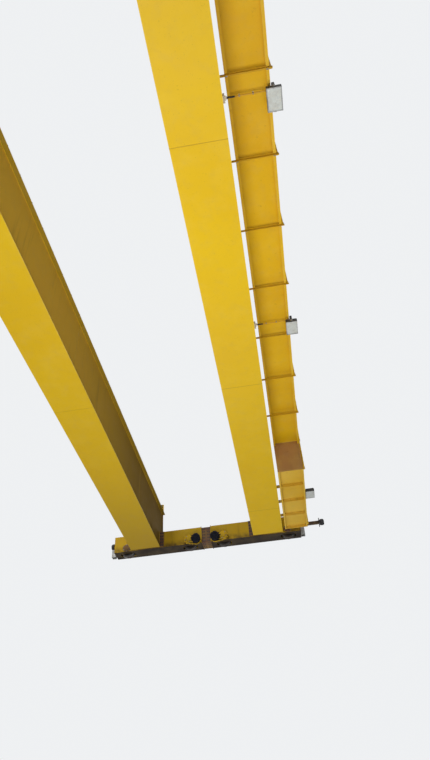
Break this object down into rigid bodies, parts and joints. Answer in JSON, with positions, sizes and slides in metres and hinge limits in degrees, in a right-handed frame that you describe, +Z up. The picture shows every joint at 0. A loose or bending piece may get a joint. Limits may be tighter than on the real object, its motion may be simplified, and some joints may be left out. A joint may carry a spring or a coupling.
{
  "type": "overhead bridge crane",
  "caption": "Double box-girder overhead crane bridge with end carriages, travel drives, wheels, a side walkway with lowered landings, and floodlights.",
  "frame": {"origin": "midway between the buffer faces in X, at mid span in Y, and at the lowest point of the wheel flanges in Z", "axes": "+X along the runway towards the walkway side, +Y along the girders towards the far end carriage, +Z up"},
  "size_m": [7.24, 24.57, 2.2459],
  "materials": {
    "girder_yellow": "semi-gloss enamel, dusty and slightly chalked",
    "inner_primer": "matt primer",
    "joint_primer": "matt red-brown primer on the bolted joints",
    "rail_steel": "rolled steel, bright on the running face",
    "carriage_yellow": "semi-gloss enamel, grease and dust near the wheels",
    "wheel_steel": "turned treads, dark rims",
    "bearing_primer": "matt primer",
    "drive_black": "satin dark paint",
    "buffer_rubber": "matt",
    "guard_zinc": "pale galvanised",
    "walkway_yellow": "semi-gloss enamel, rust and dust at the brackets",
    "handrail_yellow": "semi-gloss enamel, worn on the rails",
    "lamp_black": "satin powder coat",
    "lamp_glass": "clear toughened glass over a pale reflector",
    "conduit_zinc": "galvanised conduit"
  },
  "bodies": {
    "root": {"left_bottom_flange": "girder_yellow", "left_top_flange": "girder_yellow", "left_inner_web": "girder_yellow", "left_outer_web": "girder_yellow", "left_diaphragms": "inner_primer", "left_end_plates": "joint_primer", "left_crab_rail": "rail_steel", "right_bottom_flange": "girder_yellow", "right_top_flange": "girder_yellow", "right_inner_web": "girder_yellow", "right_outer_web": "girder_yellow", "right_diaphragms": "inner_primer", "right_end_plates": "joint_primer", "right_crab_rail": "rail_steel", "crab_stops": "carriage_yellow", "near_left_carriage": "carriage_yellow", "near_right_carriage": "carriage_yellow", "far_left_carriage": "carriage_yellow", "far_right_carriage": "carriage_yellow", "near_splice": "joint_primer", "far_splice": "joint_primer", "near_left_wheels": "wheel_steel", "near_right_wheels": "wheel_steel", "far_left_wheels": "wheel_steel", "far_right_wheels": "wheel_steel", "near_left_bearings": "bearing_primer", "near_right_bearings": "bearing_primer", "far_left_bearings": "bearing_primer", "far_right_bearings": "bearing_primer", "near_left_drive": "drive_black", "near_right_drive": "drive_black", "far_left_drive": "drive_black", "far_right_drive": "drive_black", "near_buffers": "buffer_rubber", "far_buffers": "buffer_rubber", "buffer_arms": "carriage_yellow", "rail_guards": "guard_zinc", "walkway_floor": "walkway_yellow", "walkway_inner_channel": "walkway_yellow", "walkway_outer_channel": "walkway_yellow", "walkway_brackets": "walkway_yellow", "walkway_handrail": "handrail_yellow", "near_landing": "walkway_yellow", "far_landing": "walkway_yellow", "near_riser": "walkway_yellow", "far_riser": "walkway_yellow", "near_landing_rail": "handrail_yellow", "far_landing_rail": "handrail_yellow", "floodlights": "lamp_black", "floodlight_glasses": "lamp_glass", "lamp_conduits": "conduit_zinc"}
  },
  "joints": []
}
